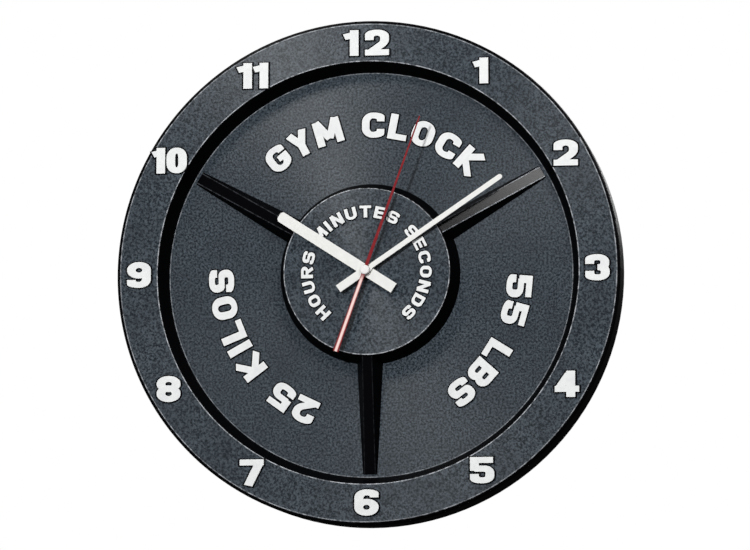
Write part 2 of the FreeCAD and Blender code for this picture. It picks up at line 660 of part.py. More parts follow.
def positive_contact():
    outer = HALF_CASE
    leaf = contact_leaf(outer - CONTACT_THICK)
    nub_face = BATTERY_X + BATTERY_BODY + BATTERY_NUB + 0.05
    dimple = Part.makeCone(2.6, 1.4, outer - CONTACT_THICK - nub_face,
                           Vector(outer - CONTACT_THICK, BATTERY_Y, BATTERY_Z), Vector(-1, 0, 0))
    return join([leaf, dimple])


def negative_contact():
    """Leaf with a spring of closed turns that lean on the flat end of the battery."""
    outer = -HALF_CASE
    leaf = contact_leaf(outer)
    room = BATTERY_X - 0.05 - (outer + CONTACT_THICK)
    wire_r, turns = 0.35, 4
    coils = []
    for turn in range(turns):
        start = outer + CONTACT_THICK - 0.05 + wire_r + (room - 2 * wire_r + 0.05) * turn / (turns - 1)
        coils.append(Part.makeTorus(3.6 - 0.35 * turn, wire_r, Vector(start, BATTERY_Y, BATTERY_Z),
                                    Vector(1, 0, 0)))
    return join([leaf] + coils)


# ---------------------------------------------------------------- electrics
def circuit_board():
    return block((-2, HALF_CASE - 0.4), BOARD, (18.0, HALF_CASE - 0.4))


def chip():
    blob = Part.makeSphere(3.4, Vector(9, BOARD[0] + 2.4, 22.4))
    return blob.common(block((0, 20), (BOARD[0] - 3, BOARD[0]), (15, HALF_CASE)))


def quartz_crystal():
    can = Part.makeCylinder(1.0, 6.0, Vector(16, BOARD[0] - 1.0, 24.6), Vector(1, 0, 0))
    return can.makeFillet(0.25, [e for e in can.Edges if isinstance(e.Curve, Part.Circle)])


def stator():
    """Pole plate around the rotor, with two legs that reach the coil core."""
    right_of_hole = -8.2
    pole = block((STATOR_LEFT, right_of_hole), STATOR, (-1, 12.5))
    yoke = block((STATOR_LEFT, STATOR_RIGHT), STATOR, (9.5, 12.5))
    top = COIL_Z + CORE_HALF
    legs = [block((STATOR_LEFT, STATOR_LEFT + LEG_WIDTH), STATOR, (12, top)),
            block((STATOR_RIGHT - LEG_WIDTH, STATOR_RIGHT), STATOR, (12, top))]
    slit = block((ROTOR[0] - 0.4, ROTOR[0] + 0.4), STATOR, (ROTOR[1], 12.5))
    return join([pole, yoke] + legs).cut([disc(*STATOR, MAGNET_R + 0.6, ROTOR), slit])


def coil_core():
    return block((STATOR_LEFT + 0.2, STATOR_RIGHT - 0.2), CORE, (COIL_Z - CORE_HALF, COIL_Z + CORE_HALF))


def bobbin_tube(grow):
    """Solid that reaches a distance beyond the coil core on its four long sides."""
    half = CORE_HALF + grow
    return block(BOBBIN_ENDS, (CORE[0] - grow, CORE[1] + grow), (COIL_Z - half, COIL_Z + half))


def coil_bobbin():
    half = 3.4
    ends = [block((x, x + BOBBIN_FLANGE), (CORE_Y - half, CORE_Y + half), (COIL_Z - half, COIL_Z + half))
            for x in (BOBBIN_ENDS[0], BOBBIN_ENDS[1] - BOBBIN_FLANGE)]
    legs_room = block((STATOR_LEFT, STATOR_LEFT + LEG_WIDTH), STATOR, (0, HALF_CASE))
    return join([bobbin_tube(BOBBIN_WALL)] + ends).cut([bobbin_tube(0), legs_room])


def coil_winding():
    length = BOBBIN_ENDS[1] - BOBBIN_ENDS[0] - 2 * BOBBIN_FLANGE
    start = Vector(BOBBIN_ENDS[0] + BOBBIN_FLANGE, CORE_Y, COIL_Z)
    return Part.makeCylinder(3.1, length, start, Vector(1, 0, 0)).cut(bobbin_tube(BOBBIN_WALL))


def rotor_magnet():
    return disc(*MAGNET, MAGNET_R, ROTOR, bore=0.9)


# ---------------------------------------------------------------- gear train
def spindle(centre, front, back, radius=ARBOR_R):
    """Arbor between two pivot holes, a little short of both seats."""
    return disc(front + 0.1, back - 0.1, radius, centre)


def rotor_pinion():
    phase = mating_phase(INTERMEDIATE_TEETH, 0, PINION, ROTOR_DIR)
    return join([gear(PINION, ROTOR_MODULE, *ROTOR_PINION, ROTOR, phase),
                 disc(MAGNET[0], ROTOR_PINION[0], 0.9, ROTOR),
                 spindle(ROTOR, BRIDGE[0], PIVOT_SEAT, ROTOR_ARBOR_R)])


def intermediate_wheel():
    phase = mating_phase(SECOND_TEETH, 0, PINION, INTERMEDIATE_DIR)
    return join([gear(PINION, SECOND_MODULE, *INTERMEDIATE_PINION, INTERMEDIATE, phase),
                 disc(INTERMEDIATE_PINION[1], INTERMEDIATE_WHEEL[0], 1.1, INTERMEDIATE),
                 gear(INTERMEDIATE_TEETH, ROTOR_MODULE, *INTERMEDIATE_WHEEL, INTERMEDIATE, 0),
                 spindle(INTERMEDIATE, BRIDGE[0], PIVOT_SEAT)])


def second_wheel():
    return join([gear(PINION, SECOND_MODULE, *SECOND_PINION, CENTRE, 0),
                 disc(SECOND_PINION[1], SECOND_WHEEL[0], 1.5),
                 gear(SECOND_TEETH, SECOND_MODULE, *SECOND_WHEEL, CENTRE, 0),
                 disc(SECOND_WHEEL[1], COVER_FRONT - 0.2, 0.8)]).cut(disc(ARBOR_TIP, 0, ARBOR_R))


def second_arbor():
    return disc(ARBOR_TIP, PIVOT_SEAT - 0.1, ARBOR_R)


def third_wheel():
    phase = mating_phase(PINION, 0, THIRD_TEETH, THIRD_DIR)
    return join([gear(PINION, CENTRE_MODULE, *THIRD_PINION, THIRD, 0),
                 disc(THIRD_PINION[1], THIRD_WHEEL[0], 1.1, THIRD),
                 gear(THIRD_TEETH, SECOND_MODULE, *THIRD_WHEEL, THIRD, phase),
                 spindle(THIRD, MID_PLATE[0], PIVOT_SEAT)])


def centre_wheel():
    phase = mating_phase(PINION, 0, CENTRE_TEETH, THIRD_DIR + 180)
    bore = CANNON_TAIL_R + FIT
    return join([gear(CENTRE_TEETH, CENTRE_MODULE, *CENTRE_WHEEL, CENTRE, phase, bore),
                 disc(CENTRE_WHEEL[1], CENTRE_WHEEL[1] + 0.3, 2.4, bore=bore)])


def cannon_pinion():
    tail_end = CENTRE_WHEEL[1] + 0.5
    return join([gear(CANNON_TEETH, MOTION_MODULE, *CANNON_PINION),
                 disc(CANNON_TIP, CANNON_PINION[0], CANNON_TUBE_R),
                 disc(CANNON_PINION[1], tail_end, CANNON_TAIL_R)]).cut(disc(CANNON_TIP, 0, ARBOR_R + LOOSE))


def clutch_spring():
    ring = disc(*CLUTCH_SPRING, 3.2, bore=CANNON_TAIL_R)
    windows = [turned(block((-0.9, 0.9), CLUTCH_SPRING, (2.0, 2.7)), 120 * i) for i in range(3)]
    return ring.cut(windows)


def minute_phase():
    return mating_phase(CANNON_TEETH, 0, MINUTE_TEETH, MINUTE_DIR)


def minute_wheel():
    wheel = join([gear(PINION, MOTION_MODULE, *MINUTE_PINION, MINUTE, 0),
                  disc(MINUTE_PINION[1], MINUTE_WHEEL[0], 1.1, MINUTE),
                  gear(MINUTE_TEETH, MOTION_MODULE, *MINUTE_WHEEL, MINUTE, minute_phase())])
    return wheel.cut(disc(MINUTE_PINION[0], MINUTE_WHEEL[1], ARBOR_R + FIT, MINUTE))


def minute_pin():
    return spindle(MINUTE, PIN_SEAT, MID_PLATE[1])


def hour_wheel():
    phase = mating_phase(PINION, 0, HOUR_TEETH, MINUTE_DIR + 180)
    wheel = join([gear(HOUR_TEETH, MOTION_MODULE, *HOUR_WHEEL, CENTRE, phase),
                  disc(HOUR_TUBE_TIP, HOUR_WHEEL[0], HOUR_TUBE_R)])
    return wheel.cut(disc(HOUR_TUBE_TIP, HOUR_WHEEL[1], CANNON_TUBE_R + LOOSE))


def hour_washer():
    return disc(*HOUR_WASHER, 4.8, bore=HOUR_TUBE_R + FIT)


def setting_knob():
    """Knob behind the cover, its sleeve and its pinion in one moulding."""
    phase = mating_phase(MINUTE_TEETH, minute_phase(), SETTING_TEETH, SETTING_DIR)
    grip_r, flute_r, flutes_round = 4.6, 0.45, 20
    grip = disc(*KNOB, grip_r, SETTING)
    flutes = [disc(*KNOB, flute_r, polar(grip_r + 0.2, 360 / flutes_round * i, SETTING))
              for i in range(flutes_round)]
    body = join([gear(SETTING_TEETH, MOTION_MODULE, *SETTING_PINION, SETTING, phase),
                 disc(SETTING_PINION[1], KNOB[0], SLEEVE_R, SETTING), grip.cut(flutes)])
    return body.cut(disc(SETTING_PINION[0], SETTING_PIN_END + 0.1, ARBOR_R + FIT, SETTING))


def setting_pin():
    return disc(PIN_SEAT + 0.1, SETTING_PIN_END, ARBOR_R, SETTING)


# ---------------------------------------------------------------- hands
def hand(outline, levels, collet_r, collet_back, bore, angle):
    """Flat hand with a collet behind it, turned to its clock angle."""
    blade = prism(outline, *levels).fuse(disc(levels[1], collet_back, collet_r))
    return turned(blade.removeSplitter().cut(disc(levels[0], collet_back, bore)), angle)


def round_tip(reach, width, steps=8):
    """Half circle of points that ends a blade of the given width."""
    radius = width / 2
    return [polar(radius, -90 + 180 * i / steps, (0, reach - radius)) for i in range(steps + 1)]


def hour_hand():
    half, bevel = HOUR_WIDTH / 2, 1.6
    outline = [(-half, -HOUR_TAIL), (-half, HOUR_REACH - bevel), (-half + bevel, HOUR_REACH),
               (half - bevel, HOUR_REACH), (half, HOUR_REACH - bevel), (half, -HOUR_TAIL)]
    return hand(outline, HOUR_HAND, 3.4, HOUR_HAND[1] + 0.5, HOUR_TUBE_R, HOUR_ANGLE)


def minute_hand():
    half, tail_half, shoulder = MINUTE_WIDTH / 2, MINUTE_TAIL_WIDTH / 2, 2.5
    outline = [(-tail_half, -MINUTE_TAIL), (-tail_half, shoulder), (-half, 2 * shoulder)]
    outline += round_tip(MINUTE_REACH, MINUTE_WIDTH)
    outline += [(half, 2 * shoulder), (tail_half, shoulder), (tail_half, -MINUTE_TAIL)]
    return hand(outline, MINUTE_HAND, 2.6, MINUTE_HAND[1] + 0.6, CANNON_TUBE_R, MINUTE_ANGLE)


def second_hand():
    half, waist = SECOND_TAIL_WIDTH / 2, 1.2
    outline = [(-half, -SECOND_TAIL), (-waist, 0)] + round_tip(SECOND_REACH, SECOND_TIP_WIDTH)
    outline += [(waist, 0), (half, -SECOND_TAIL)]
    return hand(outline, SECOND_HAND, 1.0, SECOND_HAND[1] + 1.3, ARBOR_R, SECOND_ANGLE)


def second_cap():
    """Low domed button over the end of the second arbor."""
    front = ARBOR_TIP - 1.4
    return round_rims(disc(front, ARBOR_TIP, CAP_R), [(CAP_R, front, 0.9)])


# ---------------------------------------------------------------- export
NODES = (plate_shell, lettering_pads, hour_numerals, plate_lettering, hub_lettering, hanger_plate,
         hanger_screws, gasket, movement_case, threaded_bush, front_washer, hex_nut, mid_plate,
         rotor_bridge, rear_cover, circuit_board, chip, quartz_crystal, stator, coil_core, coil_bobbin,
         coil_winding, positive_contact, negative_contact, battery, rotor_magnet, rotor_pinion,
         intermediate_wheel, second_wheel, second_arbor, second_hand, second_cap, third_wheel,
         centre_wheel, cannon_pinion, clutch_spring, minute_hand, minute_wheel, minute_pin, hour_wheel,
         hour_washer, hour_hand, setting_knob, setting_pin)

os.makedirs("parts", exist_ok=True)
for build in NODES:
    node = build()
    node.translate(Vector(0, 0, -HANGER_RISE))
    node.exportStep("parts/" + build.__name__ + ".step")
    print(f"{build.__name__:20s} solids {len(node.Solids)} valid {node.isValid()} volume {node.Volume:.2f}")
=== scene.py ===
"""Looks of the weight-plate wall clock: materials, small fitted details, light and camera.

The frame has +Z up and +Y into the wall, and its origin is the hanger keyhole.
Every length is in metres. The hands turn about the line through CENTRE along Y.
"""

import json
import math

import bmesh
import bpy
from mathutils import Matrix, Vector


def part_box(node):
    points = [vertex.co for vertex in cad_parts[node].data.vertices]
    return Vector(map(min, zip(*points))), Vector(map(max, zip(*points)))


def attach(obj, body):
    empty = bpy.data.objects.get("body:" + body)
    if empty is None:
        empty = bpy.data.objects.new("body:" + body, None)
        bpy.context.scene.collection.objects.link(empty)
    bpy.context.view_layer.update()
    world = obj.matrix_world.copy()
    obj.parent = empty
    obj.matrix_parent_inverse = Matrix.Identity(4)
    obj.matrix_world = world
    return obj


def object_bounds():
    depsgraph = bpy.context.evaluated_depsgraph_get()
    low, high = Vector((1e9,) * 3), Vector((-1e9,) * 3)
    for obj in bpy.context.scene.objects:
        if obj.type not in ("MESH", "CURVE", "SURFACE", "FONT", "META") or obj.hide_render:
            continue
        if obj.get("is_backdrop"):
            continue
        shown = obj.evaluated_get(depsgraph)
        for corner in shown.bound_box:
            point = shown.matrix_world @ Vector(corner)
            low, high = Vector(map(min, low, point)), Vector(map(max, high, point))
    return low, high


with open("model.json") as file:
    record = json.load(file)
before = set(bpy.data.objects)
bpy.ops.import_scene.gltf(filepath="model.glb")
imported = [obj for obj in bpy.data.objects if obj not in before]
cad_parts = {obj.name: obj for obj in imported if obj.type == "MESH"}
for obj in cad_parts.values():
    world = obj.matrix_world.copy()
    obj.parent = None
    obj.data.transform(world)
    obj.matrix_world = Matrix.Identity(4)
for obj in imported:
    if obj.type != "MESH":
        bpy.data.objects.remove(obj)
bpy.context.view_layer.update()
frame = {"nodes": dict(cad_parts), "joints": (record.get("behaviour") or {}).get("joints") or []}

MM = 0.001
NODES = frame["nodes"]
JOINT_PLACES = {joint["name"]: Vector(joint["pos_m"]) for joint in frame["joints"] if "pos_m" in joint}
CENTRE = JOINT_PLACES["second_spin"]
PLATE_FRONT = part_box("plate_shell")[0].y

# Circles on the plate with a painted highlight where a fold of the moulding catches the light: radius,
# width, strength
PAINTED_EDGE_HIGHLIGHTS = ((149.2 * MM, 0.75 * MM, 0.75), (175.4 * MM, 0.8 * MM, 0.55), (58.5 * MM, 0.75 * MM, 0.9),
                (143.1 * MM, 0.7 * MM, 0.35))
# Sloping ribs: clock angle and how bright the painted highlight along the edges of the crest is, set per rib
# by how the light falls on it
RIBS = ((math.radians(60), 0.26), (math.radians(180), 0.012), (math.radians(300), 0.045))
# Distance of the ends of the crest from the axis, and half its width at each
RIB_SPAN = (57.5 * MM, 141.0 * MM)
RIB_HALF_WIDTHS = (3.6 * MM, 4.1 * MM)
# Only walls this far from the axis are on the outside, where they have some sheen
OUTER_WALL_R = 177 * MM
SECOND_ANGLE = math.radians(19.8)


# ---------------------------------------------------------------- materials

class Shader:
    """One material's nodes, with a short call for each kind that is used here."""

    def __init__(self, name, **constants):
        self.material = bpy.data.materials.new(name)
        self.material.use_nodes = True
        self.tree = self.material.node_tree
        self.surface = self.tree.nodes["Principled BSDF"]
        coordinates = self.tree.nodes.new("ShaderNodeTexCoord")
        self.place = coordinates.outputs["Object"]
        self.normal = coordinates.outputs["Normal"]
        self.set(**constants)

    def feed(self, socket, value):
        if isinstance(value, bpy.types.NodeSocket):
            self.tree.links.new(value, socket)
        else:
            socket.default_value = value

    def set(self, **inputs):
        """Principled inputs by their names in lower case with underscores."""
        sockets = {socket.name.lower().replace(" ", "_"): socket for socket in self.surface.inputs}
        for name, value in inputs.items():
            self.feed(sockets[name], value)

    def node(self, kind, *inputs, **settings):
        made = self.tree.nodes.new("ShaderNode" + kind)
        for name, value in settings.items():
            setattr(made, name, value)
        for socket, value in zip(made.inputs, inputs):
            if value is not None:
                self.feed(socket, value)
        return made

    def maths(self, operation, *values):
        return self.node("Math", *values, operation=operation).outputs[0]

    def vector(self, operation, *values):
        made = self.node("VectorMath", *values, operation=operation)
        return made.outputs["Value" if operation in ("LENGTH", "DOT_PRODUCT") else "Vector"]

    def split(self, vector):
        return self.node("SeparateXYZ", vector).outputs

    def step(self, value, low, high, start=0.0, end=1.0):
        """Smooth change from start at low to end at high."""
        made = self.node("MapRange", value, low, high, start, end, interpolation_type="SMOOTHSTEP")
        return made.outputs[0]

    def noise(self, feature, detail=2.0, roughness=0.5, stretch=(1, 1, 1)):
        """Noise with blobs of about the given size, drawn out along an axis by its stretch."""
        place = self.vector("DIVIDE", self.place, stretch)
        made = self.node("TexNoise", place)
        made.inputs["Scale"].default_value = 1 / feature
        made.inputs["Detail"].default_value = detail
        made.inputs["Roughness"].default_value = roughness
        return made.outputs["Fac"]

    def cells(self, feature, output="Distance"):
        made = self.node("TexVoronoi", self.place)
        made.inputs["Scale"].default_value = 1 / feature
        return made.outputs[output]

    def mix(self, share, first, second):
        made = self.node("Mix", data_type="RGBA")
        for socket, value in ((made.inputs[0], share), (made.inputs[6], first), (made.inputs[7], second)):
            if not isinstance(value, (bpy.types.NodeSocket, float, int)):
                value = (*value, 1.0)
            self.feed(socket, value)
        return made.outputs[2]

    def bump(self, height, depth, strength=1.0):
        made = self.node("Bump")
        made.inputs["Height"].default_value = 0
        self.feed(made.inputs["Height"], height)
        made.inputs["Distance"].default_value = depth
        made.inputs["Strength"].default_value = strength
        self.set(normal=made.outputs[0])

    def radius(self, centre=CENTRE):
        """Distance from the line through centre along Y."""
        offset = self.vector("SUBTRACT", self.place, tuple(centre))
        return self.vector("LENGTH", self.vector("MULTIPLY", offset, (1, 0, 1)))

    def along(self, axis, centre=CENTRE):
        return self.vector("DOT_PRODUCT", self.vector("SUBTRACT", self.place, tuple(centre)), tuple(axis))

    def band(self, value, middle, width):
        """One within half a width of the middle, falling smoothly to nothing outside."""
        gap = self.maths("ABSOLUTE", self.maths("SUBTRACT", value, middle))
        return self.step(gap, width * 0.15, width * 0.6, 1.0, 0.0)


def moulded_plate():
    """Slate grey with a turned grain on faces square to the axis, with painted shade that makes walls and
    ribs almost black.
    """
    s = Shader("moulded_plate", anisotropic=0.72, anisotropic_rotation=0.25)
    facing = s.maths("ABSOLUTE", s.split(s.normal)[1])
    flat = s.step(facing, 0.986, 0.996)
    grain = s.noise(1.5 * MM, 3.0, 0.66)
    mottle = s.noise(22 * MM, 3.0, 0.6)
    slate = s.mix(s.step(grain, 0.36, 0.65), (0.008, 0.013, 0.018), (0.074, 0.092, 0.109))
    slate = s.mix(s.step(mottle, 0.3, 0.75, 0.0, 0.35), slate, (0.018, 0.023, 0.030))
    # Painted shade: steep faces of the same moulding as the flats are coloured almost black
    wall = s.mix(grain, (0.0010, 0.0010, 0.0014), (0.0024, 0.0025, 0.0032))
    colour = s.mix(flat, wall, slate)
    radius = s.radius()
    broken = s.step(s.noise(4 * MM, 4.0, 0.75), 0.38, 0.62, 0.15, 1.0)
    # Painted highlight: pale broken lines coloured along the folds at these radii
    for edge_radius, width, strength in PAINTED_EDGE_HIGHLIGHTS:
        line = s.maths("MULTIPLY", s.band(radius, edge_radius, width), broken)
        line = s.maths("MULTIPLY", line, s.step(facing, 0.55, 0.90, 0.0, strength))
        colour = s.mix(line, colour, (0.66, 0.69, 0.73))
    sloping = s.maths("MULTIPLY", s.step(facing, 0.90, 0.97), s.maths("SUBTRACT", 1.0, flat))
    crests = 0.0
    for angle, crest_highlight in RIBS:
        direction = Vector((math.sin(angle), 0, math.cos(angle)))
        across = Vector((math.cos(angle), 0, -math.sin(angle)))
        out = s.along(direction)
        half_width = s.node("MapRange", out, *RIB_SPAN, *RIB_HALF_WIDTHS).outputs[0]
        inset = s.maths("SUBTRACT", half_width, s.maths("ABSOLUTE", s.along(across)))
        beyond_hub = s.step(out, RIB_SPAN[0] - 2 * MM, RIB_SPAN[0])
        on_rib = s.maths("MULTIPLY", beyond_hub, sloping)
        crest = s.maths("MULTIPLY", s.step(inset, -0.4 * MM, 0.0), on_rib)
        crests = s.maths("MAXIMUM", crests, crest)
        # Painted highlight: pale lines along the edges of each crest, brighter on the rib that faces the
        # light
        line = s.maths("MULTIPLY", s.band(inset, 0.3 * MM, 0.9 * MM), crest)
        line = s.maths("MULTIPLY", line, broken)
        colour = s.mix(line, colour, (crest_highlight, crest_highlight * 1.08, crest_highlight * 1.2))
    turning = s.node("Tangent", direction_type="RADIAL", axis="Y").outputs[0]
    shine = s.step(radius, OUTER_WALL_R - MM, OUTER_WALL_R, 0.015, 0.12)
    shine = s.maths("MAXIMUM", shine, s.maths("MULTIPLY", crests, 0.24))
    shine = s.maths("MAXIMUM", shine, s.maths("MULTIPLY", flat, 0.40))
    s.set(base_color=colour, tangent=turning, specular_ior_level=shine,
          roughness=s.maths("SUBTRACT", 0.42, s.maths("MULTIPLY", crests, 0.27)))
    textured = s.maths("MAXIMUM", flat, s.step(facing, 0.6, 0.85, 0.7, 0.0))
    s.bump(s.maths("MULTIPLY", s.maths("ADD", grain, s.cells(1.7 * MM)), textured), 0.12 * MM, 0.4)
    return s.material


# Painted shade: the pads round the letters are coloured almost black so that they show as a dark outline
def letter_pad():
    s = Shader("letter_pad", roughness=0.5, specular_ior_level=0.05)
    s.set(base_color=s.mix(s.noise(0.8 * MM), (0.001, 0.001, 0.0015), (0.003, 0.003, 0.004)))
    s.bump(s.noise(0.9 * MM), 0.04 * MM, 0.5)
    return s.material


def stamped_white():
    """White foil on the raised faces, plate black on their sides."""
    s = Shader("stamped_white", roughness=0.42, specular_ior_level=0.4)
    facing = s.maths("ABSOLUTE", s.split(s.normal)[1])
    white = s.mix(s.noise(2.2 * MM, 3.0), (0.70, 0.71, 0.71), (0.84, 0.85, 0.85))
    white = s.mix(s.step(s.noise(9 * MM, 2.0), 0.45, 0.8, 0.0, 0.4), white, (0.62, 0.63, 0.65))
    s.set(base_color=s.mix(s.step(facing, 0.6, 0.9), (0.006, 0.006, 0.008), white))
    s.bump(s.noise(1.6 * MM, 2.0), 0.05 * MM, 0.4)
    return s.material


def hand_white():
    s = Shader("hand_white_paint", roughness=0.38, specular_ior_level=0.45)
    s.set(base_color=s.mix(s.noise(3 * MM, 3.0), (0.70, 0.70, 0.68), (0.82, 0.82, 0.80)))
    s.bump(s.noise(0.7 * MM, 2.0), 0.01 * MM, 0.5)
    return s.material


def hand_red():
    """Glossy red needle with a painted highlight, a pale streak down the middle of its broad tail."""
    s = Shader("hand_red_lacquer", roughness=0.22, coat_weight=0.5, coat_roughness=0.12)
    direction = Vector((math.sin(SECOND_ANGLE), 0, math.cos(SECOND_ANGLE)))
    across = Vector((math.cos(SECOND_ANGLE), 0, -math.sin(SECOND_ANGLE)))
    lacquer = s.mix(s.noise(4 * MM, 2.0), (0.17, 0.012, 0.016), (0.26, 0.026, 0.030))
    # Painted highlight: pale pink coloured along the middle of the tail
    tail = s.step(s.along(direction), -9 * MM, -2 * MM, 1.0, 0.0)
    middle = s.step(s.maths("ABSOLUTE", s.along(across)), 0.5 * MM, 1.3 * MM, 1.0, 0.0)
    s.set(base_color=s.mix(s.maths("MULTIPLY", tail, middle), lacquer, (0.90, 0.66, 0.62)))
    return s.material


def cap_pale():
    s = Shader("cap_pale", roughness=0.2, coat_weight=0.3)
    s.set(base_color=s.mix(s.noise(1.5 * MM, 2.0), (0.74, 0.72, 0.71), (0.90, 0.89, 0.88)))
    return s.material


def metal(name, dark, light, roughness, feature, stretch=(1, 1, 1), depth=0.01 * MM):
    """Metal with drawn-out marks that vary its colour, gloss and height."""
    s = Shader(name, metallic=1.0)
    marks = s.noise(feature, 4.0, 0.6, stretch)
    s.set(base_color=s.mix(marks, dark, light), roughness=s.step(marks, 0.25, 0.75, *roughness))
    s.bump(marks, depth, 0.5)
    return s.material


def plastic(name, dark, light, roughness, feature, depth, **constants):
    """Moulded plastic with a fine grain and slow changes of shade."""
    s = Shader(name, **constants)
    grain = s.noise(feature, 3.0, 0.6)
    shade = s.mix(s.noise(feature * 14, 2.0), dark, light)
    s.set(base_color=s.mix(s.step(grain, 0.35, 0.8, 0.0, 0.35), shade, light),
          roughness=s.step(grain, 0.25, 0.75, *roughness))
    s.bump(grain, depth, 0.6)
    return s.material


def black_metal():
    s = Shader("black_finish", metallic=0.6)
    marks = s.noise(0.6 * MM, 3.0)
    s.set(base_color=s.mix(marks, (0.010, 0.010, 0.012), (0.030, 0.030, 0.034)),
          roughness=s.step(marks, 0.3, 0.7, 0.25, 0.45))
    s.bump(marks, 0.01 * MM, 0.5)
    return s.material


def circuit_board():
    """Green solder mask with lighter copper runs under it and tinned pads."""
    s = Shader("solder_mask", coat_weight=0.25, coat_roughness=0.1)
    x, _, z = s.split(s.place)
    wander = s.maths("MULTIPLY", s.noise(9 * MM, 1.0), 9 * MM)
    runs = s.maths("PINGPONG", s.maths("ADD", x, wander), 1.1 * MM)
    run = s.step(runs, 0.3 * MM, 0.45 * MM)
    green = s.mix(run, (0.012, 0.10, 0.045), (0.030, 0.20, 0.085))
    pad = s.step(s.cells(2.6 * MM), 0.16, 0.20, 1.0, 0.0)
    s.set(base_color=s.mix(pad, green, (0.62, 0.60, 0.52)), metallic=pad,
          roughness=s.step(s.noise(1.2 * MM), 0.3, 0.7, 0.3, 0.45))
    s.bump(s.maths("ADD", run, pad), 0.03 * MM, 0.7)
    return s.material


def copper_winding():
    """Enamelled wire laid side by side round the bobbin, whose axis is X."""
    s = Shader("copper_winding", metallic=0.9)
    wander = s.maths("MULTIPLY", s.noise(3 * MM, 1.0), 0.12 * MM)
    turns = s.maths("PINGPONG", s.maths("ADD", s.split(s.place)[0], wander), 0.11 * MM)
    crown = s.step(turns, 0.0, 0.11 * MM)
    s.set(base_color=s.mix(crown, (0.20, 0.055, 0.020), (0.74, 0.30, 0.13)), roughness=0.32)
    s.bump(crown, 0.06 * MM, 0.9)
    return s.material


def battery_sleeve():
    """Printed sleeve in bands along the cell, bare steel at both ends."""
    s = Shader("battery_sleeve", coat_weight=0.4, coat_roughness=0.15)
    low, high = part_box("battery")
    length = high.x - low.x
    x = s.split(s.place)[0]
    print_grain = s.noise(1.0 * MM, 2.0)
    body = s.mix(print_grain, (0.010, 0.018, 0.060), (0.018, 0.030, 0.095))
    gold = s.mix(print_grain, (0.50, 0.31, 0.08), (0.66, 0.43, 0.14))
    steel = s.mix(print_grain, (0.55, 0.56, 0.57), (0.72, 0.73, 0.74))
    colour = s.mix(s.step(x, low.x + length * 0.68, low.x + length * 0.685), body, gold)
    stripe = s.band(x, low.x + length * 0.66, 1.2 * MM)
    colour = s.mix(stripe, colour, (0.80, 0.80, 0.78))
    bare = s.maths("MAXIMUM", s.step(x, low.x + 0.9 * MM, low.x + 1.0 * MM, 1.0, 0.0),
                   s.step(x, high.x - 2.0 * MM, high.x - 1.9 * MM))
    s.set(base_color=s.mix(bare, colour, steel), metallic=s.maths("MAXIMUM", bare, 0.35),
          roughness=s.step(print_grain, 0.3, 0.7, 0.24, 0.36))
    return s.material


LOOKS = {
    "plate_black": moulded_plate(),
    "letter_white": stamped_white(),
    "hand_white": hand_white(),
    "hand_red": hand_red(),
    "cap_pale": cap_pale(),
    "zinc_steel": metal("zinc_plated", (0.52, 0.54, 0.56), (0.74, 0.75, 0.76), (0.22, 0.42), 2.5 * MM,
                        (6, 6, 1)),
    "black_metal": black_metal(),
    "bush_brass": metal("turned_brass", (0.55, 0.38, 0.14), (0.80, 0.60, 0.28), (0.2, 0.35), 1.5 * MM,
                        (8, 1, 8)),
    "case_black": plastic("case_abs", (0.012, 0.012, 0.014), (0.030, 0.030, 0.033), (0.40, 0.58),
                          0.9 * MM, 0.05 * MM),
    "gear_natural": plastic("acetal_natural", (0.66, 0.64, 0.58), (0.86, 0.84, 0.79), (0.28, 0.42), 0.5 * MM,
                            0.01 * MM, subsurface_weight=0.15, subsurface_scale=0.001),
    "gear_amber": plastic("acetal_amber", (0.52, 0.30, 0.08), (0.74, 0.48, 0.18), (0.26, 0.40), 0.5 * MM,
                          0.01 * MM, subsurface_weight=0.15, subsurface_scale=0.001),
    "board_green": circuit_board(),
    "epoxy_black": plastic("potting_resin", (0.006, 0.006, 0.007), (0.014, 0.014, 0.015), (0.12, 0.25),
                           1.2 * MM, 0.05 * MM, coat_weight=0.4),
    "coil_copper": copper_winding(),
    "soft_iron": metal("punched_iron", (0.30, 0.30, 0.31), (0.52, 0.52, 0.53), (0.35, 0.55), 1.0 * MM),
    "magnet_grey": metal("sintered_magnet", (0.10, 0.10, 0.11), (0.22, 0.22, 0.23), (0.45, 0.65),
                         0.3 * MM, depth=0.02 * MM),
    "battery_jacket": battery_sleeve(),
    "pad_rubber": plastic("foam_rubber", (0.010, 0.010, 0.010), (0.024, 0.024, 0.024), (0.75, 0.92),
                          0.4 * MM, 0.08 * MM),
}
NODE_LOOKS = {"lettering_pads": letter_pad()}

for name, node in NODES.items():
    for material_slot in node.material_slots:
        look = NODE_LOOKS.get(name) or LOOKS[material_slot.material.name.split(".")[0]]
        material_slot.material = look


# ---------------------------------------------------------------- moulded marks on the back

RELIEF = 0.3 * MM
RELIEF_SINK = 0.05 * MM
EDGE_SHARE = 0.35
DISH_BACK = -11.0 * MM
EJECTOR_CIRCLE_R = 104 * MM
EJECTOR_R = 3.2 * MM
EJECTOR_RELIEF = 0.2 * MM
ARROW_GAP = 2.2 * MM
ARROW_WIDTH = 0.7 * MM
ARROW_SPAN = (math.radians(12), math.radians(58))
ARROW_STEPS = 14
COVER_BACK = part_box("rear_cover")[1].y
MARK_ROW_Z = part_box("rear_cover")[0].z + 3.0 * MM
BATTERY_LOW, BATTERY_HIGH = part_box("battery")
KNOB_LOW, KNOB_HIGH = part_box("setting_knob")
KNOB_PLACE = (KNOB_LOW + KNOB_HIGH) / 2
KNOB_R = (KNOB_HIGH.x - KNOB_LOW.x) / 2


def around(centre, radius, angle):
    """Point of a circle in the XZ plane, at an angle clockwise from the top seen from the front."""
    return centre.x + radius * math.sin(angle), centre.z + radius * math.cos(angle)


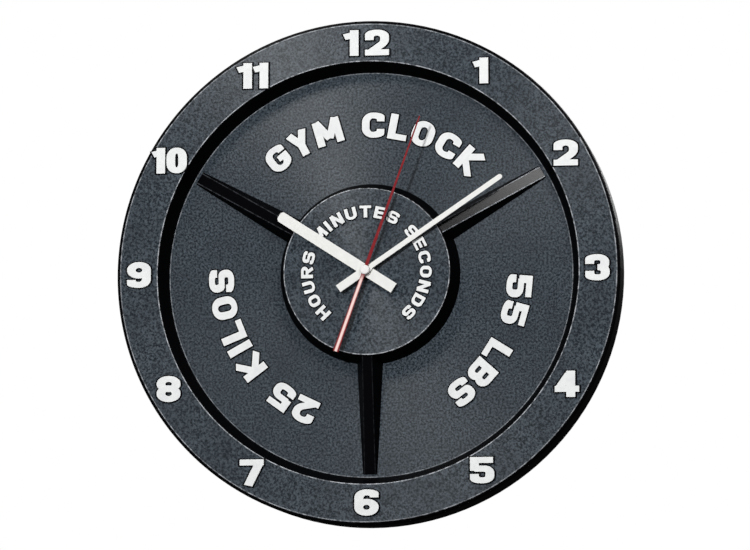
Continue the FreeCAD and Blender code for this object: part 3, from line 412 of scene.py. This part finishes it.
def relief(name, outlines, back, height, slot):
    """Closed outlines in the XZ plane raised towards the wall, with their upper edges eased."""
    shape = bmesh.new()
    for outline in outlines:
        foot = [shape.verts.new((x, back - RELIEF_SINK, z)) for x, z in outline]
        face = shape.faces.new(foot)
        raised = bmesh.ops.extrude_face_region(shape, geom=[face])["geom"]
        verts = [part for part in raised if isinstance(part, bmesh.types.BMVert)]
        bmesh.ops.translate(shape, verts=verts, vec=(0, height + RELIEF_SINK, 0))
        rims = [part for part in raised if isinstance(part, bmesh.types.BMEdge)]
        bmesh.ops.bevel(shape, geom=rims, offset=height * EDGE_SHARE, segments=2, affect="EDGES")
    bmesh.ops.recalc_face_normals(shape, faces=shape.faces)
    mesh = bpy.data.meshes.new(name)
    shape.to_mesh(mesh)
    shape.free()
    piece = bpy.data.objects.new(name, mesh)
    bpy.context.collection.objects.link(piece)
    mesh.materials.append(LOOKS[slot])
    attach(piece, "clock")
    return piece


def arc_arrow(centre, radius, width, start, end):
    """Outline of a bent arrow whose head is at the end angle."""
    turn = (end - start) / ARROW_STEPS
    shaft = [start + turn * i for i in range(ARROW_STEPS + 1)]
    outer = [around(centre, radius + width / 2, angle) for angle in shaft]
    inner = [around(centre, radius - width / 2, angle) for angle in reversed(shaft)]
    head = [around(centre, radius + width * 1.5, end), around(centre, radius, end + 3 * turn),
            around(centre, radius - width * 1.5, end)]
    return outer + head + inner


def bar(x, z, half_width, half_height):
    return [(x - half_width, z - half_height), (x + half_width, z - half_height),
            (x + half_width, z + half_height), (x - half_width, z + half_height)]


def plus(x, z, reach, half):
    return [(x - half, z - reach), (x + half, z - reach), (x + half, z - half), (x + reach, z - half),
            (x + reach, z + half), (x + half, z + half), (x + half, z + reach), (x - half, z + reach),
            (x - half, z + half), (x - reach, z + half), (x - reach, z - half), (x - half, z - half)]


def circle(centre, radius, steps=28):
    return [around(centre, radius, 2 * math.pi * i / steps) for i in range(steps)]


def setting_arrows():
    """Two arrows on the cover that show both ways the knob turns."""
    start, end = ARROW_SPAN
    arrows = [arc_arrow(KNOB_PLACE, KNOB_R + ARROW_GAP, ARROW_WIDTH, side * start, side * end)
              for side in (-1, 1)]
    relief("setting_arrows", arrows, COVER_BACK, RELIEF, "letter_white")


def polarity_marks():
    """Plus and minus on the cover, above the two ends of the battery."""
    reach, half_width, inset = 1.6 * MM, 0.35 * MM, 4 * MM
    marks = [plus(BATTERY_HIGH.x - inset, MARK_ROW_Z, reach, half_width),
             bar(BATTERY_LOW.x + inset, MARK_ROW_Z, reach, half_width)]
    relief("polarity_marks", marks, COVER_BACK, RELIEF, "letter_white")


def cell_picture():
    """Raised outline strokes in the shape of a round cell, between the polarity marks."""
    middle = (BATTERY_LOW.x + BATTERY_HIGH.x) / 2
    half_length, half_height, line = 8 * MM, 1.7 * MM, 0.22 * MM
    strokes = []
    for side in (-1, 1):
        strokes.append(bar(middle, MARK_ROW_Z + side * half_height, half_length, line))
        strokes.append(bar(middle + side * half_length, MARK_ROW_Z, line, half_height - 2 * line))
    strokes.append(bar(middle + half_length + 1 * MM, MARK_ROW_Z, 0.55 * MM, 0.8 * MM))
    relief("cell_picture", strokes, COVER_BACK, RELIEF, "letter_white")


def ejector_marks():
    """Low round witness marks of the mould on the back of the dish, between the ribs."""
    marks = []
    for angle, _ in RIBS:
        for offset in (math.radians(30), math.radians(90)):
            x, z = around(CENTRE, EJECTOR_CIRCLE_R, angle + offset)
            marks.append(circle(Vector((x, 0, z)), EJECTOR_R))
    relief("ejector_marks", marks, DISH_BACK, EJECTOR_RELIEF, "plate_black")


setting_arrows()
polarity_marks()
cell_picture()
ejector_marks()


# ---------------------------------------------------------------- stage, light and camera

STAGE_DROP = 0.55
STAGE_HALF = 12.0
FLOOR_GLOW = 0.65
KEY_OFFSET = Vector((-0.30, -2.1, 0.34))
KEY_SIZE = 0.13
KEY_POWER = 37.5
SHEEN_OFFSET = Vector((-0.42, -0.95, 0.82))
SHEEN_SIZE = 0.3
SHEEN_POWER = 11.5
SOFTBOX_OFFSET = Vector((0.40, -0.87, 0.45))
SOFTBOX_SIZE = 0.3
SOFTBOX_POWER = 2.6
BACK_FILL_OFFSET = Vector((1.4, 1.8, 1.2))
BACK_FILL_SIZE = 1.4
BACK_FILL_POWER = 60.0
CAMERA_DISTANCE = 3.0
CAMERA_AZIMUTH = math.radians(7.97)
CAMERA_ELEVATION = math.radians(-6.84)
VIEW_WIDTH = 0.5249
SENSOR = 36.0
AIM_RIGHT = 5.8 * MM
AIM_DOWN = 2.6 * MM
AMBIENT = 0.135
REFLECTED = 0.02


def floor():
    """Large pale plane with a soft grain and a glow of its own, which casts no light on the clock."""
    mesh = bpy.data.meshes.new("floor")
    shape = bmesh.new()
    bmesh.ops.create_grid(shape, x_segments=8, y_segments=8, size=STAGE_HALF)
    shape.to_mesh(mesh)
    shape.free()
    plane = bpy.data.objects.new("floor", mesh)
    plane.visible_diffuse = False
    plane.visible_glossy = False
    plane.location = (0, 0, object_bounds()[0].z - STAGE_DROP)
    bpy.context.collection.objects.link(plane)
    s = Shader("floor_paint", roughness=0.8)
    paint = s.mix(s.noise(0.4, 3.0), (0.78, 0.78, 0.77), (0.86, 0.86, 0.85))
    s.set(base_color=paint, emission_color=paint, emission_strength=FLOOR_GLOW)
    mesh.materials.append(s.material)
    plane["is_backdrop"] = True


def backdrop_light():
    """White all round for the eye, dim as a light and darker still in reflections."""
    world = bpy.data.worlds.new("studio")
    world.use_nodes = True
    tree = world.node_tree
    background = tree.nodes["Background"]
    path = tree.nodes.new("ShaderNodeLightPath")
    strength = AMBIENT
    for ray, seen in (("Is Glossy Ray", REFLECTED), ("Is Camera Ray", 1.0)):
        choice = tree.nodes.new("ShaderNodeMix")
        tree.links.new(path.outputs[ray], choice.inputs[0])
        if isinstance(strength, float):
            choice.inputs[2].default_value = strength
        else:
            tree.links.new(strength, choice.inputs[2])
        choice.inputs[3].default_value = seen
        strength = choice.outputs[0]
    tree.links.new(strength, background.inputs["Strength"])
    background.inputs["Color"].default_value = (1, 1, 1, 1)
    bpy.context.scene.world = world


def area_light(name, place, target, size, power, matt=True, gloss=True):
    """Round lamp aimed at the target; matt and gloss say which part of the light it gives."""
    data = bpy.data.lights.new(name, "AREA")
    data.shape = "DISK"
    data.size = size
    data.energy = power
    lamp = bpy.data.objects.new(name, data)
    lamp.visible_diffuse = matt
    lamp.visible_glossy = gloss
    lamp.location = place
    lamp.rotation_euler = (Vector(target) - Vector(place)).to_track_quat("-Z", "Y").to_euler()
    bpy.context.collection.objects.link(lamp)


def camera():
    back = Vector((math.sin(CAMERA_AZIMUTH) * math.cos(CAMERA_ELEVATION),
                   -math.cos(CAMERA_AZIMUTH) * math.cos(CAMERA_ELEVATION), math.sin(CAMERA_ELEVATION)))
    facing = (-back).to_track_quat("-Z", "Y")
    right = facing @ Vector((1, 0, 0))
    up = facing @ Vector((0, 1, 0))
    face = Vector((CENTRE.x, PLATE_FRONT + 1 * MM, CENTRE.z))
    data = bpy.data.cameras.new("camera")
    data.sensor_width = SENSOR
    data.lens = SENSOR * CAMERA_DISTANCE / VIEW_WIDTH
    view = bpy.data.objects.new("camera", data)
    view.location = face + back * CAMERA_DISTANCE + right * AIM_RIGHT - up * AIM_DOWN
    view.rotation_euler = facing.to_euler()
    bpy.context.collection.objects.link(view)
    bpy.context.scene.camera = view


floor()
backdrop_light()
area_light("key", CENTRE + KEY_OFFSET, CENTRE, KEY_SIZE, KEY_POWER, gloss=False)
area_light("sheen", CENTRE + SHEEN_OFFSET, CENTRE, SHEEN_SIZE, SHEEN_POWER, matt=False)
area_light("softbox", CENTRE + SOFTBOX_OFFSET, CENTRE, SOFTBOX_SIZE, SOFTBOX_POWER)
area_light("back_fill", CENTRE + BACK_FILL_OFFSET, CENTRE, BACK_FILL_SIZE, BACK_FILL_POWER)
camera()
bpy.context.scene.view_settings.view_transform = "Standard"
